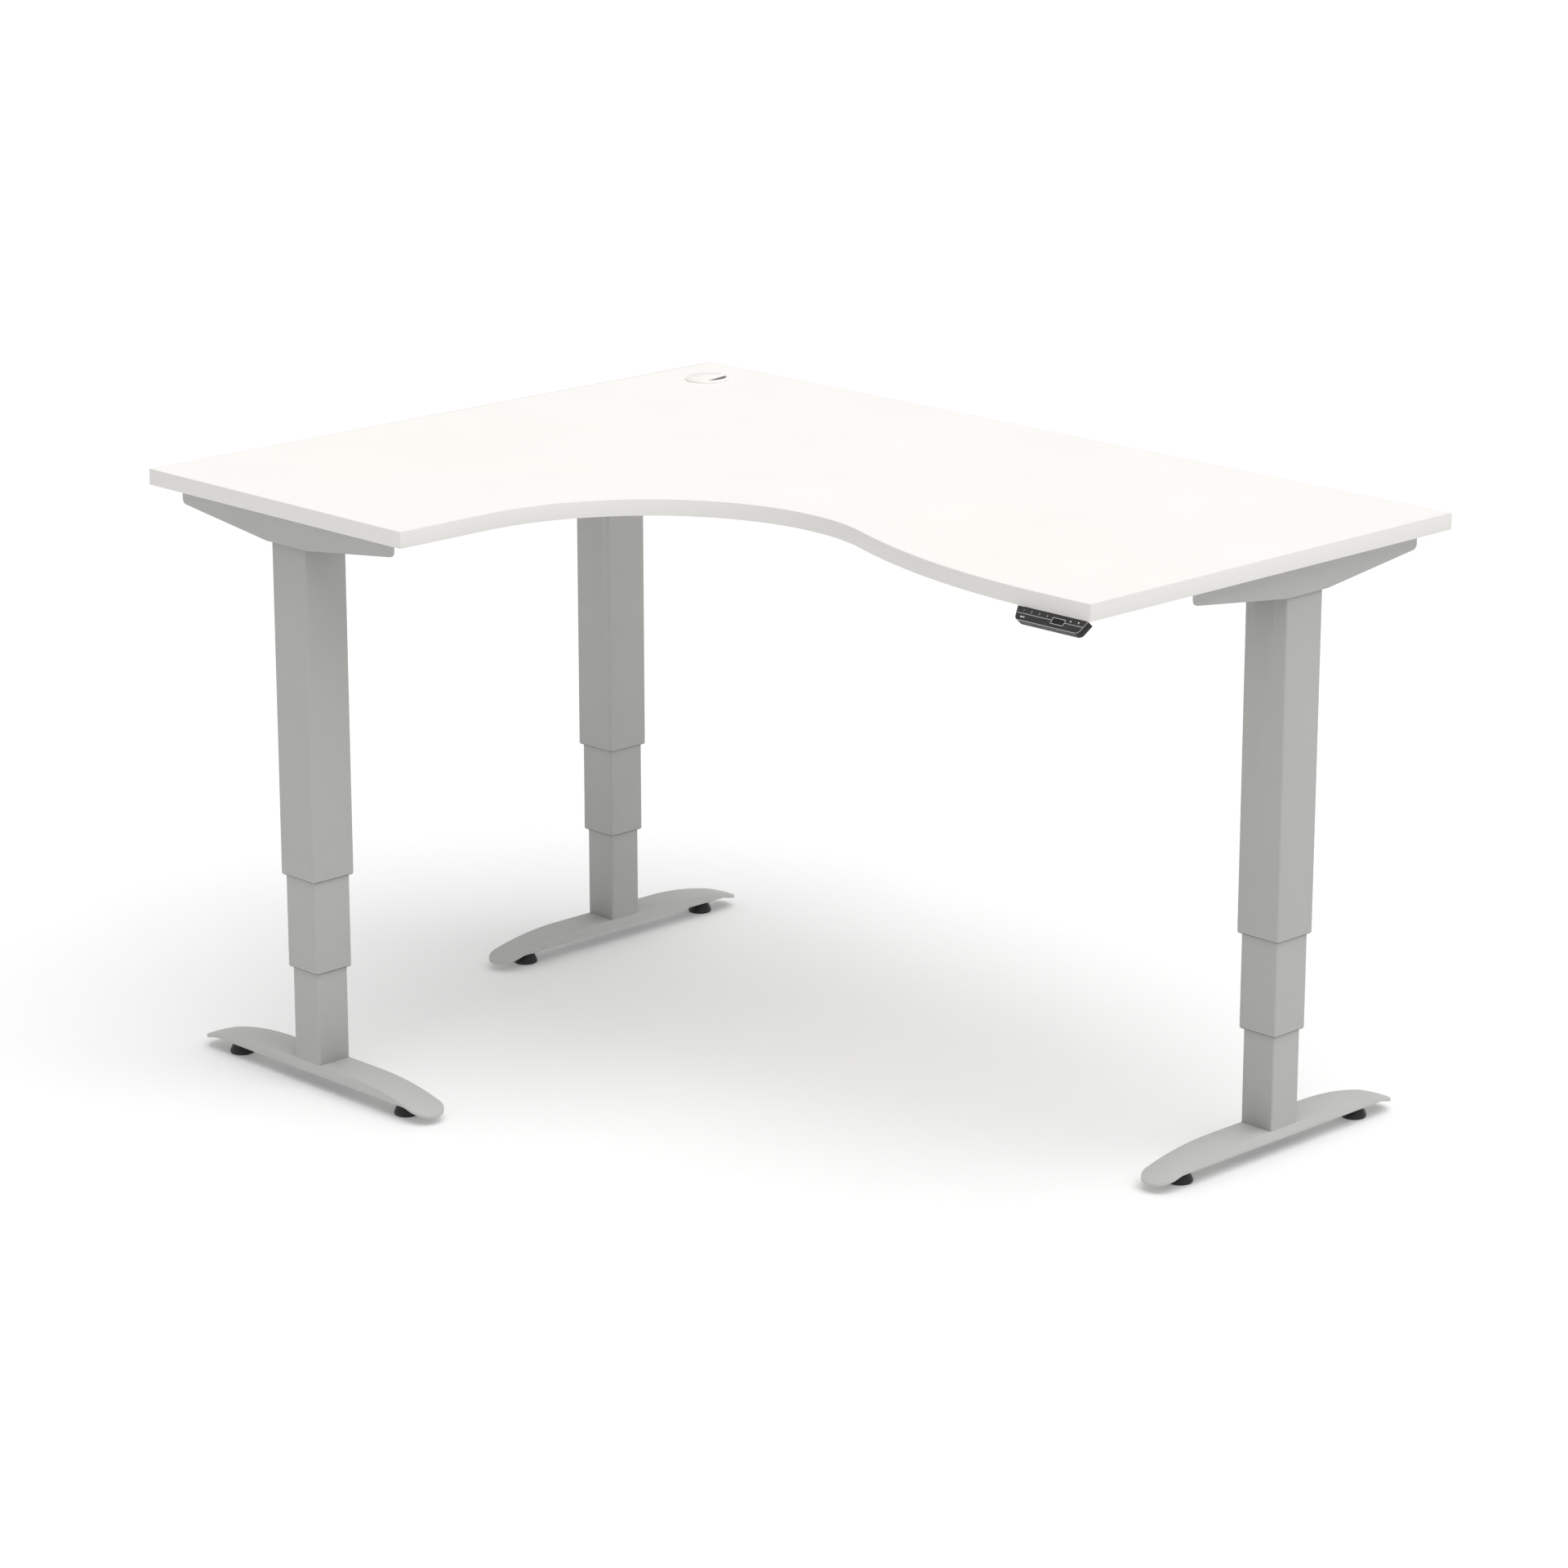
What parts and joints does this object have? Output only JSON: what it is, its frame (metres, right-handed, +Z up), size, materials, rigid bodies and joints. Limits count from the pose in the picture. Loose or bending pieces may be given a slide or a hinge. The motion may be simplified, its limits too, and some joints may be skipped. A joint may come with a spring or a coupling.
{
  "type": "height adjustable standing desk",
  "caption": "Corner desk with a curved front, three telescopic lifting columns on arched feet, a cable outlet in the top and a handset under the front edge.",
  "frame": {"origin": "on the floor, under the middle of the rectangle that the desktop is cut from", "axes": "+X to the right along the long side, +Y towards the wall, +Z up; the user sits on the -Y side"},
  "size_m": [1.6, 1.2, 0.9508],
  "materials": {
    "frame_paint": "silver grey powder coat, fine texture, satin",
    "foot_steel": "bare rolled steel",
    "zinc": "bright zinc plate",
    "guide_plastic": "natural acetal",
    "bush_plastic": "black acetal",
    "screw_steel": "rolled and greased steel",
    "gearbox_plastic": "glass filled black nylon",
    "motor_paint": "black paint, semi gloss",
    "board_face": "warm white melamine on chipboard, matt",
    "edge_plastic": "white ABS edging, satin",
    "outlet_plastic": "white moulded plastic, satin",
    "box_plastic": "black moulded plastic, fine texture",
    "lead_rubber": "black PVC sheath",
    "handset_plastic": "charcoal moulded plastic, fine texture",
    "handset_film": "charcoal panel, satin",
    "circuit_board": "green solder mask",
    "glide_plastic": "black moulded plastic"
  },
  "bodies": {
    "base": {"left_foot": "frame_paint", "right_foot": "frame_paint", "corner_foot": "frame_paint", "left_inner_tube": "frame_paint", "right_inner_tube": "frame_paint", "corner_inner_tube": "frame_paint", "foot_plates": "foot_steel", "foot_bolts": "zinc", "inner_guide_bushes": "guide_plastic", "inner_screw_nuts": "guide_plastic"},
    "top": {"desktop_board": "board_face", "edge_band": "edge_plastic", "outlet_sleeve": "outlet_plastic", "left_bracket": "frame_paint", "right_bracket": "frame_paint", "corner_bracket": "frame_paint", "left_outer_tube": "frame_paint", "right_outer_tube": "frame_paint", "corner_outer_tube": "frame_paint", "outer_guide_bushes": "bush_plastic", "gearboxes": "gearbox_plastic", "motors": "motor_paint", "long_rail": "frame_paint", "wing_rail": "frame_paint", "column_bolts": "zinc", "rail_bolts": "zinc", "desktop_screws": "zinc", "control_box": "box_plastic", "mains_inlet": "box_plastic", "motor_leads": "lead_rubber", "handset_lead": "lead_rubber", "lead_clips": "guide_plastic", "handset_shell": "handset_plastic", "handset_face": "handset_film", "handset_board": "circuit_board"},
    "left_stage": {"left_middle_tube": "frame_paint", "left_middle_guides": "guide_plastic"},
    "right_stage": {"right_middle_tube": "frame_paint", "right_middle_guides": "guide_plastic"},
    "corner_stage": {"corner_middle_tube": "frame_paint", "corner_middle_guides": "guide_plastic"},
    "left_hollow_screw": {"left_hollow_screw": "screw_steel"},
    "right_hollow_screw": {"right_hollow_screw": "screw_steel"},
    "corner_hollow_screw": {"corner_hollow_screw": "screw_steel"},
    "left_drive_screw": {"left_drive_screw": "screw_steel"},
    "right_drive_screw": {"right_drive_screw": "screw_steel"},
    "corner_drive_screw": {"corner_drive_screw": "screw_steel"},
    "outlet_cap": {"outlet_cap": "outlet_plastic"},
    "key_one": {"key_one": "handset_film"},
    "key_two": {"key_two": "handset_film"},
    "key_three": {"key_three": "handset_film"},
    "key_four": {"key_four": "handset_film"},
    "key_up": {"key_up": "handset_film"},
    "key_down": {"key_down": "handset_film"},
    "left_glide_near": {"left_glide_near": "glide_plastic"},
    "left_glide_far": {"left_glide_far": "glide_plastic"},
    "right_glide_near": {"right_glide_near": "glide_plastic"},
    "right_glide_far": {"right_glide_far": "glide_plastic"},
    "corner_glide_near": {"corner_glide_near": "glide_plastic"},
    "corner_glide_far": {"corner_glide_far": "glide_plastic"}
  },
  "joints": [
    {"name": "lift", "type": "slide", "parent": "base", "child": "top", "axis": [0, 0, 1], "range_m": [-0.296, 0.354]},
    {"name": "left_stage_slide", "type": "slide", "parent": "base", "child": "left_stage", "axis": [0, 0, 1], "range_m": [-0.148, 0.177]},
    {"name": "right_stage_slide", "type": "slide", "parent": "base", "child": "right_stage", "axis": [0, 0, 1], "range_m": [-0.148, 0.177]},
    {"name": "corner_stage_slide", "type": "slide", "parent": "base", "child": "corner_stage", "axis": [0, 0, 1], "range_m": [-0.148, 0.177]},
    {"name": "left_drive_turn", "type": "hinge", "parent": "top", "child": "left_drive_screw", "pos_m": [-0.5, -0.53, 0.6], "axis": [0, 0, 1], "continuous": true},
    {"name": "left_hollow_turn", "type": "hinge", "parent": "left_stage", "child": "left_hollow_screw", "pos_m": [-0.5, -0.53, 0.5], "axis": [0, 0, 1], "continuous": true},
    {"name": "right_drive_turn", "type": "hinge", "parent": "top", "child": "right_drive_screw", "pos_m": [0.73, 0.3, 0.6], "axis": [0, 0, 1], "continuous": true},
    {"name": "right_hollow_turn", "type": "hinge", "parent": "right_stage", "child": "right_hollow_screw", "pos_m": [0.73, 0.3, 0.5], "axis": [0, 0, 1], "continuous": true},
    {"name": "corner_drive_turn", "type": "hinge", "parent": "top", "child": "corner_drive_screw", "pos_m": [-0.73, 0.3, 0.6], "axis": [0, 0, 1], "continuous": true},
    {"name": "corner_hollow_turn", "type": "hinge", "parent": "corner_stage", "child": "corner_hollow_screw", "pos_m": [-0.73, 0.3, 0.5], "axis": [0, 0, 1], "continuous": true},
    {"name": "outlet_cap_turn", "type": "hinge", "parent": "top", "child": "outlet_cap", "pos_m": [-0.695, 0.493, 0.949], "axis": [0, 0, 1], "continuous": true},
    {"name": "key_one_press", "type": "slide", "parent": "top", "child": "key_one", "axis": [0, 0.7373, -0.6756], "range_m": [0, 0.0005], "stiffness_N_per_m": 3000},
    {"name": "key_two_press", "type": "slide", "parent": "top", "child": "key_two", "axis": [0, 0.7373, -0.6756], "range_m": [0, 0.0005], "stiffness_N_per_m": 3000},
    {"name": "key_three_press", "type": "slide", "parent": "top", "child": "key_three", "axis": [0, 0.7373, -0.6756], "range_m": [0, 0.0005], "stiffness_N_per_m": 3000},
    {"name": "key_four_press", "type": "slide", "parent": "top", "child": "key_four", "axis": [0, 0.7373, -0.6756], "range_m": [0, 0.0005], "stiffness_N_per_m": 3000},
    {"name": "key_up_press", "type": "slide", "parent": "top", "child": "key_up", "axis": [0, 0.7373, -0.6756], "range_m": [0, 0.0005], "stiffness_N_per_m": 3000},
    {"name": "key_down_press", "type": "slide", "parent": "top", "child": "key_down", "axis": [0, 0.7373, -0.6756], "range_m": [0, 0.0005], "stiffness_N_per_m": 3000},
    {"name": "left_glide_near_screw", "type": "slide", "parent": "base", "child": "left_glide_near", "axis": [0, 0, 1], "range_m": [-0.006, 0.001]},
    {"name": "left_glide_far_screw", "type": "slide", "parent": "base", "child": "left_glide_far", "axis": [0, 0, 1], "range_m": [-0.006, 0.001]},
    {"name": "right_glide_near_screw", "type": "slide", "parent": "base", "child": "right_glide_near", "axis": [0, 0, 1], "range_m": [-0.006, 0.001]},
    {"name": "right_glide_far_screw", "type": "slide", "parent": "base", "child": "right_glide_far", "axis": [0, 0, 1], "range_m": [-0.006, 0.001]},
    {"name": "corner_glide_near_screw", "type": "slide", "parent": "base", "child": "corner_glide_near", "axis": [0, 0, 1], "range_m": [-0.006, 0.001]},
    {"name": "corner_glide_far_screw", "type": "slide", "parent": "base", "child": "corner_glide_far", "axis": [0, 0, 1], "range_m": [-0.006, 0.001]}
  ],
  "couplings": [
    {"joint": "left_stage_slide", "follows": "lift", "ratio": 0.5},
    {"joint": "right_stage_slide", "follows": "lift", "ratio": 0.5},
    {"joint": "corner_stage_slide", "follows": "lift", "ratio": 0.5},
    {"joint": "left_drive_turn", "follows": "lift", "rad_per_m": 628.32},
    {"joint": "left_hollow_turn", "follows": "lift", "rad_per_m": 628.32},
    {"joint": "right_drive_turn", "follows": "lift", "rad_per_m": 628.32},
    {"joint": "right_hollow_turn", "follows": "lift", "rad_per_m": 628.32},
    {"joint": "corner_drive_turn", "follows": "lift", "rad_per_m": 628.32},
    {"joint": "corner_hollow_turn", "follows": "lift", "rad_per_m": 628.32}
  ]
}
